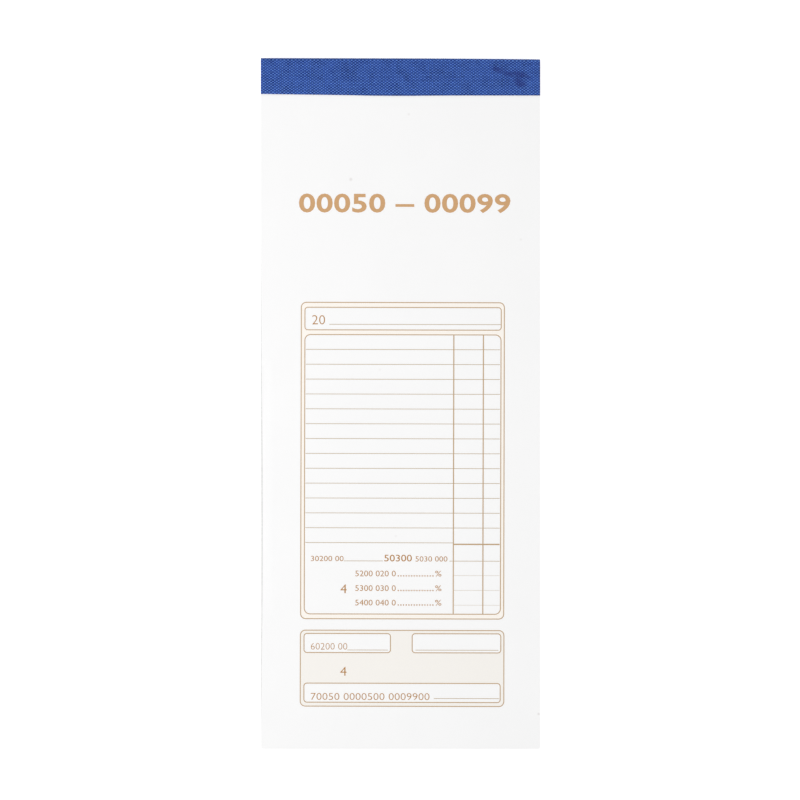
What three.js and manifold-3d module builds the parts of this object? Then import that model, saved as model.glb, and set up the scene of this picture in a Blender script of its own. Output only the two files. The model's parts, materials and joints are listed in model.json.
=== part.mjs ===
// Bill pad: a chipboard back, fifty perforated leaves, a card cover that folds over the head,
// two clinched wire staples, and a cloth tape glued round the head.
// Millimetres. X runs across the pad, +Y towards the taped head and +Z up.
// The origin is the middle of the underside.

import * as THREE from "three";
import { mergeVertices } from "three/addons/utils/BufferGeometryUtils.js";
import Module from "manifold-3d";

// Outline of the trimmed pad
const PAD_WIDTH = 85;
const PAD_LENGTH = 210;

// Sheets, from the back to the front
const BOARD_THICKNESS = 1.2;
const LEAF_COUNT = 50;
const LEAF_THICKNESS = 0.08;
const COVER_THICKNESS = 0.25;
const SHEET_AIR = 0.02;

// Cloth tape round the head
const TAPE_THICKNESS = 0.3;
const TAPE_FRONT_REACH = 11;
const TAPE_BACK_REACH = 14;
const GLUE_GAP = 0.02;
const TAPE_STEP_GAP = 0.1;

// Fold of the cover along the tape's front edge
const FOLD_GAP = 0.3;

// Perforation across the leaves, below the tape
const TEAR_LINE_OFFSET = 1.5;
const TIE_PITCH = 2.1;
const TIE_WIDTH = 0.7;
const TIE_LENGTH = 0.4;
const TEAR_GAP = 0.05;

// Wire staples through the bound head
const STAPLE_SPACING = 44;
const STAPLE_INSET = 5.5;
const STAPLE_CROWN = 12.5;
const CLINCH_LENGTH = 4.5;
const WIRE_DIAMETER = 0.5;
const WIRE_BEND_RADIUS = 0.6;
const WIRE_CLEARANCE = 0.1;
const WIRE_SIDES = 8;
const BEND_STEPS = 4;

// Heights of the stack
const leafPitch = LEAF_THICKNESS + SHEET_AIR;
const leavesBottom = BOARD_THICKNESS + SHEET_AIR;
const leavesTop = leavesBottom + LEAF_COUNT * leafPitch - SHEET_AIR;
const coverBottom = leavesTop + SHEET_AIR;
const coverTop = coverBottom + COVER_THICKNESS;
const tapeInsideTop = coverTop + GLUE_GAP;
const tapeTop = tapeInsideTop + TAPE_THICKNESS;
const boardHeadUnderside = TAPE_THICKNESS + GLUE_GAP;

// Places along the pad
const footEdge = -PAD_LENGTH / 2;
const spineOutside = PAD_LENGTH / 2;
const spineInside = spineOutside - TAPE_THICKNESS;
const bindingEdge = spineInside - GLUE_GAP;
const tapeFrontEdge = spineOutside - TAPE_FRONT_REACH;
const tapeBackEdge = spineOutside - TAPE_BACK_REACH;
const tearLine = tapeFrontEdge - TEAR_LINE_OFFSET;
const stapleLine = spineOutside - STAPLE_INSET;

const materials = {
  board: new THREE.MeshStandardMaterial({ color: "#a39c90", roughness: 0.95 }),
  leaf: new THREE.MeshStandardMaterial({ color: "#f6f5f1", roughness: 0.85 }),
  cover: new THREE.MeshStandardMaterial({ color: "#fafafa", roughness: 0.6 }),
  tape: new THREE.MeshStandardMaterial({ color: "#3a58a0", roughness: 0.9 }),
  wire: new THREE.MeshStandardMaterial({ color: "#c4c6c8", roughness: 0.35, metalness: 1 }),
};

const manifold = await Module();
manifold.setup();

function toSolid(geometry) {
  const bare = geometry.index ? geometry.toNonIndexed() : geometry.clone();
  bare.deleteAttribute("normal");
  bare.deleteAttribute("uv");
  const merged = mergeVertices(bare, 1e-4);
  return new manifold.Manifold(
    new manifold.Mesh({
      numProp: 3,
      vertProperties: merged.attributes.position.array,
      triVerts: new Uint32Array(merged.index.array),
    }),
  );
}

function toGeometry(solid) {
  const mesh = solid.getMesh();
  const geometry = new THREE.BufferGeometry();
  geometry.setAttribute("position", new THREE.BufferAttribute(mesh.vertProperties, 3));
  geometry.setIndex(new THREE.BufferAttribute(mesh.triVerts, 1));
  const faceted = geometry.toNonIndexed();
  faceted.computeVertexNormals();
  return faceted;
}

// Cuts every tool, each already in its place, out of a geometry.
function cut(geometry, tools) {
  let solid = toSolid(geometry);
  for (const tool of tools) solid = solid.subtract(toSolid(tool));
  return toGeometry(solid);
}

function piece(name, geometry, material) {
  const mesh = new THREE.Mesh(geometry, material);
  mesh.name = name;
  return mesh;
}

// A flat sheet across the whole width, between two places along the pad and two heights.
function sheet(fromY, toY, fromZ, toZ) {
  const geometry = new THREE.BoxGeometry(PAD_WIDTH, toY - fromY, toZ - fromZ);
  return geometry.translate(0, (fromY + toY) / 2, (fromZ + toZ) / 2);
}

// A profile drawn along the pad and up, run across the whole width.
function acrossPad(profile) {
  const geometry = new THREE.ExtrudeGeometry(profile, {
    depth: PAD_WIDTH,
    bevelEnabled: false,
    curveSegments: 3,
  });
  const alongPad = new THREE.Vector3(0, 1, 0);
  const up = new THREE.Vector3(0, 0, 1);
  const across = new THREE.Vector3(1, 0, 0);
  geometry.applyMatrix4(new THREE.Matrix4().makeBasis(alongPad, up, across));
  return geometry.translate(-PAD_WIDTH / 2, 0, 0);
}

// The centreline of a bent wire as a curve whose steps fall on the ends of its straight runs and bends.
class WireCurve extends THREE.Curve {
  constructor(stations) {
    super();
    this.stations = stations;
  }

  getPoint(t, target = new THREE.Vector3()) {
    const last = this.stations.length - 1;
    const index = Math.min(Math.floor(t * last + 1e-9), last - 1);
    return target.lerpVectors(this.stations[index], this.stations[index + 1], t * last - index);
  }

  getPointAt(u, target) {
    return this.getPoint(u, target);
  }

  getTangentAt(u, target = new THREE.Vector3()) {
    const last = this.stations.length - 1;
    const index = Math.round(u * last);
    const before = this.stations[Math.max(index - 1, 0)];
    const here = this.stations[index];
    const after = this.stations[Math.min(index + 1, last)];
    const incoming = here.clone().sub(before).normalize();
    const outgoing = after.clone().sub(here).normalize();
    return target.addVectors(incoming, outgoing).normalize();
  }
}

// A staple about the middle of its crown: down each leg and turned inwards behind the board.
// The end allowance lengthens both clinched ends, and the swell thickens the wire all round.
function stapleWire(drop, endAllowance, swell) {
  const half = STAPLE_CROWN / 2;
  const bend = WIRE_BEND_RADIUS;
  const tip = half - CLINCH_LENGTH - endAllowance;
  const outline = new THREE.Path();
  outline.moveTo(-tip, -drop);
  outline.lineTo(-half + bend, -drop);
  outline.absarc(-half + bend, -drop + bend, bend, -Math.PI / 2, -Math.PI, true);
  outline.lineTo(-half, -bend);
  outline.absarc(-half + bend, -bend, bend, Math.PI, Math.PI / 2, true);
  outline.lineTo(half - bend, 0);
  outline.absarc(half - bend, -bend, bend, Math.PI / 2, 0, true);
  outline.lineTo(half, -drop + bend);
  outline.absarc(half - bend, -drop + bend, bend, 0, -Math.PI / 2, true);
  outline.lineTo(tip, -drop);
  const flat = outline.getPoints(BEND_STEPS / 2);
  const distinct = flat.filter((p, i) => i === 0 || p.distanceTo(flat[i - 1]) > 1e-6);
  const stations = distinct.map((p) => new THREE.Vector3(p.x, 0, p.y));
  const section = new THREE.Shape();
  section.absarc(0, 0, WIRE_DIAMETER / 2 + swell, 0, 2 * Math.PI, false);
  return new THREE.ExtrudeGeometry(section, {
    extrudePath: new WireCurve(stations),
    steps: stations.length - 1,
    curveSegments: WIRE_SIDES / 2,
    bevelEnabled: false,
  });
}

const crownHeight = coverTop - WIRE_DIAMETER / 2;
const clinchHeight = boardHeadUnderside + SHEET_AIR + WIRE_DIAMETER / 2;
const stapleDrop = crownHeight - clinchHeight;
const staplePlaces = [
  { name: "staple_left", x: -STAPLE_SPACING / 2 },
  { name: "staple_right", x: STAPLE_SPACING / 2 },
];
const staplePockets = staplePlaces.map(({ x }) =>
  stapleWire(stapleDrop, WIRE_CLEARANCE, WIRE_CLEARANCE).translate(x, stapleLine, crownHeight),
);

// The chipboard back, pressed in at the head so that the tape lies flush with its underside.
function backBoard() {
  const step = tapeBackEdge - TAPE_STEP_GAP;
  const profile = new THREE.Shape();
  profile.moveTo(footEdge, 0);
  profile.lineTo(step, 0);
  profile.lineTo(step, boardHeadUnderside);
  profile.lineTo(bindingEdge, boardHeadUnderside);
  profile.lineTo(bindingEdge, BOARD_THICKNESS);
  profile.lineTo(footEdge, BOARD_THICKNESS);
  return cut(acrossPad(profile), staplePockets);
}

// The bound ends of the leaves, glued into one block that ends in the ties of the perforation.
function stubBlock() {
  const half = PAD_WIDTH / 2;
  const slitEnd = tearLine + TIE_LENGTH;
  const ties = Math.floor(PAD_WIDTH / TIE_PITCH);
  const outline = new THREE.Shape();
  outline.moveTo(-half, slitEnd);
  for (let i = 0; i < ties; i++) {
    const left = (i - (ties - 1) / 2) * TIE_PITCH - TIE_WIDTH / 2;
    const right = left + TIE_WIDTH;
    outline.lineTo(left, slitEnd);
    outline.lineTo(left, tearLine);
    outline.lineTo(right, tearLine);
    outline.lineTo(right, slitEnd);
  }
  outline.lineTo(half, slitEnd);
  outline.lineTo(half, bindingEdge);
  outline.lineTo(-half, bindingEdge);
  const depth = leavesTop - leavesBottom;
  const block = new THREE.ExtrudeGeometry(outline, { depth, bevelEnabled: false });
  return cut(block.translate(0, 0, leavesBottom), staplePockets);
}

// The cloth tape: up the back, round the spine and down the front, with a rounded edge at each turn.
function bindingTape() {
  const profile = new THREE.Shape();
  profile.moveTo(tapeBackEdge, 0);
  profile.lineTo(spineInside, 0);
  profile.absarc(spineInside, TAPE_THICKNESS, TAPE_THICKNESS, -Math.PI / 2, 0, false);
  profile.lineTo(spineOutside, tapeInsideTop);
  profile.absarc(spineInside, tapeInsideTop, TAPE_THICKNESS, 0, Math.PI / 2, false);
  profile.lineTo(tapeFrontEdge, tapeTop);
  profile.lineTo(tapeFrontEdge, tapeInsideTop);
  profile.lineTo(spineInside, tapeInsideTop);
  profile.lineTo(spineInside, TAPE_THICKNESS);
  profile.lineTo(tapeBackEdge, TAPE_THICKNESS);
  return acrossPad(profile);
}

// The head holds everything that stays bound together.
function boundHead() {
  const head = new THREE.Group();
  const strip = sheet(tapeFrontEdge, bindingEdge, coverBottom, coverTop);
  head.add(
    piece("back_board", backBoard(), materials.board),
    piece("stub_block", stubBlock(), materials.leaf),
    piece("cover_strip", cut(strip, staplePockets), materials.cover),
    piece("binding_tape", bindingTape(), materials.tape),
  );
  for (const { name, x } of staplePlaces) {
    const staple = piece(name, stapleWire(stapleDrop, 0, 0), materials.wire);
    staple.position.set(x, stapleLine, crownHeight);
    head.add(staple);
  }
  return head;
}

// The cover's free part, in a group whose origin is on the fold line.
function foldingCover() {
  const fold = new THREE.Group();
  fold.position.set(0, tapeFrontEdge, tapeTop);
  const length = tapeFrontEdge - FOLD_GAP - footEdge;
  const panel = piece(
    "cover_panel",
    new THREE.BoxGeometry(PAD_WIDTH, length, COVER_THICKNESS),
    materials.cover,
  );
  panel.position.set(0, -FOLD_GAP - length / 2, coverTop - COVER_THICKNESS / 2 - tapeTop);
  fold.add(panel);
  return fold;
}

// The loose parts of the leaves, counted from the front, each up to the tear line.
function leaves() {
  const stack = new THREE.Group();
  const length = tearLine - TEAR_GAP - footEdge;
  const leafForm = new THREE.BoxGeometry(PAD_WIDTH, length, LEAF_THICKNESS);
  for (let number = 1; number <= LEAF_COUNT; number++) {
    const leaf = piece(`leaf_${String(number).padStart(2, "0")}`, leafForm, materials.leaf);
    const top = leavesTop - (number - 1) * leafPitch;
    leaf.position.set(0, footEdge + length / 2, top - LEAF_THICKNESS / 2);
    stack.add(leaf);
  }
  return stack;
}

const billPad = new THREE.Group();
billPad.add(boundHead(), foldingCover(), leaves());

export default billPad;
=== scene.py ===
"""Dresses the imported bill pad: printed card cover, perforated leaves, woven tape and chipboard back."""

import json
import math
import random

import bpy
import bmesh
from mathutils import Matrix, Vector
from mathutils.geometry import tessellate_polygon


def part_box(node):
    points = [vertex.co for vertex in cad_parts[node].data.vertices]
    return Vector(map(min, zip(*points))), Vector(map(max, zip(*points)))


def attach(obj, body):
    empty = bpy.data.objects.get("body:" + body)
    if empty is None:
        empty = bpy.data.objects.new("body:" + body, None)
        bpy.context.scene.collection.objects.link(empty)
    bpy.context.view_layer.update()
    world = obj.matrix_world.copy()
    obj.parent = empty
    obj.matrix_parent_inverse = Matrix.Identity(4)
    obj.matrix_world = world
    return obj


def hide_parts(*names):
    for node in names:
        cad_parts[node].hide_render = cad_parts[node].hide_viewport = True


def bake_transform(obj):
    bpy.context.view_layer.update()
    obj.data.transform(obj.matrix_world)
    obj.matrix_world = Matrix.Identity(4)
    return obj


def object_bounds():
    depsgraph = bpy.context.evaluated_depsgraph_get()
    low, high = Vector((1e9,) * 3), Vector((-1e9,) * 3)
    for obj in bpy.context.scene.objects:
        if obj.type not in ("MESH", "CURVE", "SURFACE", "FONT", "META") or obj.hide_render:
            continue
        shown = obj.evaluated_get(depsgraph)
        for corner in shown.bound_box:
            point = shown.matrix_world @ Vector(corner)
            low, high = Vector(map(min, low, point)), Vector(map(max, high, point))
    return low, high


bl_info = {
    "name": "Bill Pad",
    "version": (1, 0, 0),
    "blender": (4, 5, 0),
    "location": "View3D > Sidebar > Bill Pad",
    "description": "Makes the cover, leaves, print, cloth tape and stage of a restaurant bill pad",
    "category": "Object",
}

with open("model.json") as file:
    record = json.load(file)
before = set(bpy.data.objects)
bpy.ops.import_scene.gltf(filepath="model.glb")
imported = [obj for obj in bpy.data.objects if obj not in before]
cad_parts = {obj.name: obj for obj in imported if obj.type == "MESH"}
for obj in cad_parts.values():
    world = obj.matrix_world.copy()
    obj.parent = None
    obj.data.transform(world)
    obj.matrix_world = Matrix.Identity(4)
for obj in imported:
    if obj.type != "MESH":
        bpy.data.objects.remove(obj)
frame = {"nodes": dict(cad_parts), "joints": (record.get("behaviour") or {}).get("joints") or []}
CAD_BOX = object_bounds()

MM = 0.001
HEAD = "bound_head"
COVER = "cover"
LEAVES = sorted(name for name in frame["nodes"] if name.startswith("leaf_"))
FOLD = next(joint for joint in frame["joints"] if joint["name"] == "cover_turn")["pos_m"]
PAD_HIGH = CAD_BOX[1]


# Settings that a user would change


def colour_setting(name, description, default):
    """A colour given as red, green and blue."""
    return bpy.props.FloatVectorProperty(
        name=name, description=description, default=(*default, 1.0), size=4, subtype="COLOR"
    )


def length_setting(name, description, millimetres):
    """A length given in millimetres and kept in metres."""
    return bpy.props.FloatProperty(
        name=name, description=description, default=millimetres * MM, unit="LENGTH", precision=5
    )


def place_setting(name, description, across, along):
    """A place on the sheet given in millimetres and kept in metres."""
    default = (across * MM, along * MM)
    return bpy.props.FloatVectorProperty(
        name=name, description=description, default=default, size=2, unit="LENGTH", precision=5
    )


def number_setting(name, description, default):
    return bpy.props.FloatProperty(name=name, description=description, default=default)


class PaperSettings(bpy.types.PropertyGroup):
    cover_colour: colour_setting("Cover colour", "Colour of the smooth white card", (0.945, 0.944, 0.944))
    leaf_colour: colour_setting("Leaf colour", "Colour of the writing paper", (0.93, 0.927, 0.915))
    board_colour: colour_setting("Board colour", "Mean colour of the grey chipboard", (0.36, 0.335, 0.29))
    stagger: length_setting("Leaf stagger", "How far a leaf's edges stray from the trimmed block", 0.05)
    tooth_depth: length_setting("Tie length", "Length of the torn ties on the leaf's head edge", 0.1)


class PrintSettings(bpy.types.PropertyGroup):
    title_ink: colour_setting("Title ink", "Colour of the bold number range on the cover", (0.6, 0.35, 0.165))
    number_ink: colour_setting("Number ink", "Colour of the small numbers", (0.44, 0.21, 0.05))
    line_ink: colour_setting(
        "Line ink", "Colour of the lines round the boxes and between the columns", (0.5, 0.34, 0.19)
    )
    rule_ink: colour_setting("Rule ink", "Colour of the thin writing lines", (0.47, 0.36, 0.22))
    band_tint: colour_setting("Band tint", "Colour of the pale band round the table", (0.965, 0.915, 0.85))
    panel_tint: colour_setting("Panel tint", "Colour of the pale panel of the coupon", (0.912, 0.884, 0.84))
    frame_line: length_setting("Frame line", "Width of the lines round each box", 0.28)
    ruled_line: length_setting("Ruled line", "Width of the writing lines", 0.17)
    column_line: length_setting("Column line", "Width of the lines between the price columns", 0.33)
    place: place_setting("Print place", "How far the print is moved across and along the sheet", 0.18, -0.17)
    skew: bpy.props.FloatProperty(
        name="Print skew",
        description="How far the print is turned on the sheet",
        subtype="ANGLE",
        default=math.radians(-0.14),
    )


class TapeSettings(bpy.types.PropertyGroup):
    warp_colour: colour_setting(
        "Warp colour", "Colour of the threads that run along the pad", (0.009, 0.041, 0.285)
    )
    weft_colour: colour_setting(
        "Weft colour", "Colour of the threads that run across the pad", (0.137, 0.288, 0.97)
    )
    warp_pitch: length_setting("Warp pitch", "Distance between the threads that run along the pad", 0.57)
    weft_pitch: length_setting("Weft pitch", "Distance between the threads that run across the pad", 0.405)
    rise: length_setting("Rise", "How far a thread swings above and below the cloth's middle", 0.055)
    thread_height: length_setting("Thread half height", "Half of a thread's thickness", 0.06)
    corner_radius: length_setting("Corner radius", "Outside radius where the cloth turns round the head", 0.6)


class StageSettings(bpy.types.PropertyGroup):
    view_width: length_setting("View width", "Width that the camera sees at the cover's height", 243.3)
    view_centre: place_setting("View centre", "Point of the cover in the middle of the picture", -0.15, 1.19)
    lens: number_setting("Lens", "Focal length of the camera in millimetres", 200.0)
    sky: number_setting("Sky", "Strength of the light from all round", 0.55)
    overhead: number_setting("Overhead lamps", "Power of each of the two overhead lamps in watts", 2.28)
    side: number_setting("Side lamp", "Power of the lamp on the left in watts", 0.34)


# Node helpers


WHITE = (1.0, 1.0, 1.0, 1.0)
NO_STRETCH = (1.0, 1.0, 1.0)


class Tree:
    """Adds nodes to a node tree and links or sets their sockets in one call."""

    def __init__(self, tree):
        self.tree = tree

    def feed(self, node, sockets):
        """Links the sockets whose value is an output and sets the others."""
        for key, value in sockets.items():
            if isinstance(value, bpy.types.NodeSocket):
                self.tree.links.new(value, node.inputs[key])
            else:
                node.inputs[key].default_value = value

    def add(self, kind, sockets=None, **settings):
        """Adds a node and returns its outputs."""
        node = self.tree.nodes.new(kind)
        for name, value in settings.items():
            setattr(node, name, value)
        self.feed(node, sockets or {})
        return node.outputs

    def math(self, operation, *values):
        return self.add("ShaderNodeMath", dict(enumerate(values)), operation=operation)[0]

    def plus(self, first, second):
        return self.math("ADD", first, second)

    def times(self, first, second):
        return self.math("MULTIPLY", first, second)

    def most(self, first, second):
        return self.math("MAXIMUM", first, second)

    def vector(self, x=0.0, y=0.0, z=0.0):
        return self.add("ShaderNodeCombineXYZ", {0: x, 1: y, 2: z})[0]

    def scaled(self, vector, factor):
        sockets = {0: vector, "Scale": factor}
        return self.add("ShaderNodeVectorMath", sockets, operation="SCALE")[0]

    def distance(self, first, second=(0.0, 0.0, 0.0)):
        sockets = {0: first, 1: second}
        return self.add("ShaderNodeVectorMath", sockets, operation="DISTANCE")["Value"]

    def clamped(self, value, low, high):
        """A value mapped from low..high to 0..1 and held there."""
        sockets = {"Value": value, "From Min": low, "From Max": high}
        return self.add("ShaderNodeMapRange", sockets)["Result"]


class Look(Tree):
    """A new material with the patterns that its Principled shader shows."""

    def __init__(self, name):
        self.material = bpy.data.materials.new(name)
        self.material.use_nodes = True
        super().__init__(self.material.node_tree)
        self.shader = self.tree.nodes["Principled BSDF"]
        self.place = self.add("ShaderNodeTexCoord")["Object"]

    def noise(self, size, detail=2.0, roughness=0.5, stretch=NO_STRETCH):
        """Noise in patches of about size metres, longer along the axes with a small stretch."""
        place = self.add("ShaderNodeMapping", {"Vector": self.place, "Scale": stretch})["Vector"]
        sockets = {"Vector": place, "Scale": 1.0 / size, "Detail": detail, "Roughness": roughness}
        return self.add("ShaderNodeTexNoise", sockets)["Fac"]

    def patches(self, size, detail=2.0, roughness=0.5, low=0.3, high=0.7, stretch=NO_STRETCH):
        """Noise that is 0 up to low and 1 from high on."""
        return self.clamped(self.noise(size, detail, roughness, stretch), low, high)

    def mixed(self, factor, first, second):
        """A colour between two others."""
        sockets = {0: factor, 6: first, 7: second}
        return self.add("ShaderNodeMix", sockets, data_type="RGBA")[2]

    def toned(self, factor, colour, low, high):
        """A colour that varies between two shades of itself."""
        return self.mixed(factor, shaded(colour, low), shaded(colour, high))

    def finish(self, colour, roughness, specular=0.5):
        """Gives the shader its colour and sheen."""
        sockets = {"Base Color": colour, "Roughness": roughness, "Specular IOR Level": specular}
        self.feed(self.shader, sockets)

    def bump(self, height, depth):
        """Raises the surface by a height pattern of the given depth in metres."""
        sockets = {"Height": height, "Distance": depth, "Strength": 1.0}
        self.feed(self.shader, {"Normal": self.add("ShaderNodeBump", sockets)["Normal"]})


def shaded(colour, factor):
    """A colour made darker or lighter by a factor, kept opaque."""
    return tuple(min(channel * factor, 1.0) for channel in colour[:3]) + (1.0,)


# Materials


# Specks in the card: place across and along and radius in millimetres, strength
SPECKS = (
    (-15.1, 68.3, 0.75, 0.44),
    (36.6, 50.0, 0.6, 0.22),
    (2.5, 88.1, 0.6, 0.3),
    (-6.3, 10.4, 0.55, 0.22),
    (-1.4, -40.2, 0.6, 0.22),
    (42.0, -94.3, 0.6, 0.6),
)
SPECK_COLOUR = (0.55, 0.5, 0.48, 1.0)
FILLED_COLOUR = (0.045, 0.11, 0.43, 1.0)
WORN_COLOUR = (0.024, 0.036, 0.21, 1.0)
WORN_TURN = math.radians(-15.5)
WORN_DEPTH = 3.0
# Smudges on the tape in millimetres: middle across and along, half length and half width
WORN_PATCHES = (
    (29.6, 101.6, 3.2, 1.3),
    (32.9, 100.4, 3.2, 1.3),
    (36.2, 100.1, 4.2, 1.6),
    (36.2, 97.6, 2.6, 2.0),
)
# How much each ink varies, in the order of the print's material indices
INK_DEPTHS = {
    "line_ink": 0.06,
    "rule_ink": 0.06,
    "number_ink": 0.06,
    "band_tint": 0.008,
    "panel_tint": 0.008,
    "title_ink": 0.04,
}


def card_material(paper):
    """Smooth white card with a faint cloudiness and a few specks."""
    look = Look("cover card")
    plain = look.toned(look.patches(14 * MM, detail=3.0), paper.cover_colour, 0.993, 1.003)
    speck = 0.0
    for x, y, radius, strength in SPECKS:
        away = look.distance(look.place, (x * MM, y * MM, PAD_HIGH.z))
        near = look.clamped(away, radius * MM, 0.3 * radius * MM)
        speck = look.most(look.times(near, strength), speck)
    roughness = look.math("MULTIPLY_ADD", look.noise(3 * MM), 0.14, 0.42)
    look.finish(look.mixed(speck, plain, SPECK_COLOUR), roughness, specular=0.2)
    look.bump(look.noise(0.35 * MM, detail=4.0), 0.006 * MM)
    return look.material


def leaf_material(paper):
    """Uncoated writing paper with short fibres along the pad and streaks on its cut edges."""
    look = Look("leaf paper")
    fibre = look.patches(0.5 * MM, detail=5.0, roughness=0.65, stretch=(1.0, 0.35, 1.0))
    cloud = look.patches(6 * MM, detail=3.0)
    mottle = look.times(look.plus(fibre, cloud), 0.5)
    face = look.toned(mottle, paper.leaf_colour, 0.97, 1.01)
    layers = look.patches(0.3 * MM, 3.0, 0.7, low=0.4, high=0.8, stretch=(0.02, 0.02, 1.0))
    normal = look.add("ShaderNodeNewGeometry")["True Normal"]
    upward = look.math("ABSOLUTE", look.add("ShaderNodeSeparateXYZ", {0: normal})["Z"])
    streaks = look.times(layers, look.math("LESS_THAN", upward, 0.5))
    colour = look.mixed(streaks, face, shaded(paper.leaf_colour, 0.68))
    look.finish(colour, roughness=0.9, specular=0.25)
    look.bump(fibre, 0.01 * MM)
    return look.material


def glue_material():
    """Dull padding glue between the bound ends of the leaves."""
    look = Look("padding glue")
    look.finish((0.62, 0.61, 0.56, 1.0), roughness=0.6)
    look.bump(look.noise(0.3 * MM, detail=3.0), 0.02 * MM)
    return look.material


def board_material(paper):
    """Grey recycled chipboard with cloudy pulp, dark and pale fibres and a napped surface."""
    look = Look("grey chipboard")
    pulp = look.patches(5 * MM, detail=6.0, roughness=0.6)
    plain = look.toned(pulp, paper.board_colour, 0.92, 1.08)
    dark_fibre = look.patches(0.45 * MM, low=0.68, high=0.74, stretch=(1.0, 0.22, 1.0))
    pale_fibre = look.patches(0.4 * MM, low=0.68, high=0.75, stretch=(0.25, 1.0, 1.0))
    flecked = look.mixed(dark_fibre, plain, shaded(paper.board_colour, 0.4))
    colour = look.mixed(pale_fibre, flecked, shaded(paper.board_colour, 1.9))
    look.finish(colour, roughness=0.95, specular=0.2)
    look.bump(look.noise(0.3 * MM, detail=5.0, roughness=0.6), 0.03 * MM)
    return look.material


def wire_material():
    """Bright galvanised wire with drawing lines."""
    look = Look("staple wire")
    drawn = look.noise(0.06 * MM, stretch=(0.05, 1.0, 1.0))
    look.finish((0.56, 0.57, 0.58, 1.0), look.clamped(drawn, -0.6, 2.2))
    look.feed(look.shader, {"Metallic": 1.0})
    look.bump(drawn, 0.004 * MM)
    return look.material


def ink_material(name, colour, depth):
    """Offset ink that lies a little unevenly on the sheet."""
    look = Look(name)
    uneven = look.patches(0.5 * MM, detail=4.0, low=0.25, high=0.75)
    look.finish(look.toned(uneven, colour, 1.0 - depth, 1.0 + depth), roughness=0.55, specular=0.3)
    return look.material


def print_inks(settings, sheet_name, sheet_tone=WHITE):
    """The inks for one kind of sheet, duller where the sheet is duller."""
    materials = []
    for setting, depth in INK_DEPTHS.items():
        toned = tuple(a * b for a, b in zip(getattr(settings, setting), sheet_tone))
        name = setting.replace("_", " ")
        materials.append(ink_material(f"{sheet_name} {name}", toned, depth))
    return materials


def worn_patches(look):
    """1 in the smudges near the right end of the tape's front, and 0 away from them."""
    uneven = look.times(look.noise(1.6 * MM, detail=3.0), 0.9)
    worn = 0.0
    for x, y, half_length, half_width in WORN_PATCHES:
        sockets = {
            "Vector": look.place,
            "Location": (x * MM, y * MM, PAD_HIGH.z),
            "Rotation": (0.0, 0.0, WORN_TURN),
            "Scale": (half_length * MM, half_width * MM, WORN_DEPTH * MM),
        }
        centred = look.add("ShaderNodeMapping", sockets, vector_type="TEXTURE")["Vector"]
        near = look.clamped(look.plus(look.distance(centred), uneven), 1.4, 0.7)
        worn = look.most(near, worn)
    return worn


def painted_edge_shade(look):
    """Painted shade: 1 where the cloth turns over the head, at its cut front edge and at its right end, and 0
    elsewhere.
    """
    across, along, up = look.add("ShaderNodeSeparateXYZ", {0: look.place})
    fold = look.clamped(along, PAD_HIGH.y - 0.6 * MM, PAD_HIGH.y - 0.1 * MM)
    on_top = look.math("GREATER_THAN", up, 0.5 * PAD_HIGH.z)
    near_front = look.clamped(along, FOLD[1] + 0.35 * MM, FOLD[1] - 0.15 * MM)
    front = look.times(near_front, on_top)
    end = look.clamped(across, PAD_HIGH.x - 0.4 * MM, PAD_HIGH.x - 0.05 * MM)
    return look.most(look.most(fold, front), end)


def thread_material(name, colour):
    """Dyed thread, a little different from thread to thread, with painted shade in its dips and painted shade
    at the fold, the front edge and the right end.
    """
    look = Look(name)
    own = look.add("ShaderNodeAttribute", attribute_name="tone")["Fac"]
    lift = look.add("ShaderNodeAttribute", attribute_name="lift")["Fac"]
    cloud = look.patches(3 * MM, detail=3.0, low=0.35, high=0.65)
    uneven = look.plus(look.plus(own, look.patches(0.7 * MM)), cloud)
    dyed = look.toned(look.times(uneven, 1 / 3), colour, 0.52, 1.44)
    # Painted shade where the thread dips below the cloth's middle
    dip_shade = look.times(look.clamped(lift, 0.9, -0.2), 0.5)
    dip_shaded = look.mixed(dip_shade, dyed, shaded(colour, 0.35))
    cloudy = look.mixed(look.times(cloud, 0.4), dip_shaded, FILLED_COLOUR)
    smudge = look.times(worn_patches(look), 0.6)
    smudged = look.mixed(smudge, cloudy, WORN_COLOUR)
    # Painted shade at the fold over the head, at the front edge and at the right end
    edges = look.times(painted_edge_shade(look), 0.5)
    look.finish(look.mixed(edges, smudged, shaded(colour, 0.25)), roughness=0.8, specular=0.12)
    look.bump(look.noise(0.09 * MM, detail=3.0), 0.012 * MM)
    return look.material


def filler_material(tape):
    """The glue and filler that close the cloth between its threads."""
    look = Look("cloth filler")
    uneven = look.patches(0.8 * MM, detail=4.0)
    look.finish(look.toned(uneven, tape.warp_colour, 1.0, 1.6), roughness=0.85, specular=0.12)
    look.bump(look.noise(0.2 * MM, detail=3.0), 0.01 * MM)
    return look.material


def left_edge_shade_material():
    """Grey painted shade on the card's sloped left cut edge."""
    look = Look("card cut edge")
    torn = look.patches(0.6 * MM, detail=4.0)
    look.finish(look.mixed(torn, (0.7, 0.7, 0.7, 1.0), (0.8, 0.8, 0.8, 1.0)), roughness=0.95)
    return look.material


# Mesh helpers


WELD_DISTANCE = 1e-5


def linked(name, data):
    """A new object in the scene."""
    piece = bpy.data.objects.new(name, data)
    bpy.context.scene.collection.objects.link(piece)
    return piece


def link_mesh(name, mesh, materials):
    """A new object at the origin for a mesh whose place is in its vertices."""
    for material in materials:
        mesh.materials.append(material)
    return linked(name, mesh)


def edited(mesh, change):
    """A mesh after a change that is made in Blender's editable mesh."""
    built = bmesh.new()
    built.from_mesh(mesh)
    change(built)
    built.to_mesh(mesh)
    built.free()
    return mesh


def face_outwards(built):
    bmesh.ops.recalc_face_normals(built, faces=built.faces)


def drop_loose_points(built):
    loose = [vertex for vertex in built.verts if not vertex.link_faces]
    bmesh.ops.delete(built, geom=loose, context="VERTS")


def weld(built):
    """Merges points that lie together and turns the faces outwards."""
    bmesh.ops.remove_doubles(built, verts=built.verts, dist=WELD_DISTANCE)
    face_outwards(built)


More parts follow.
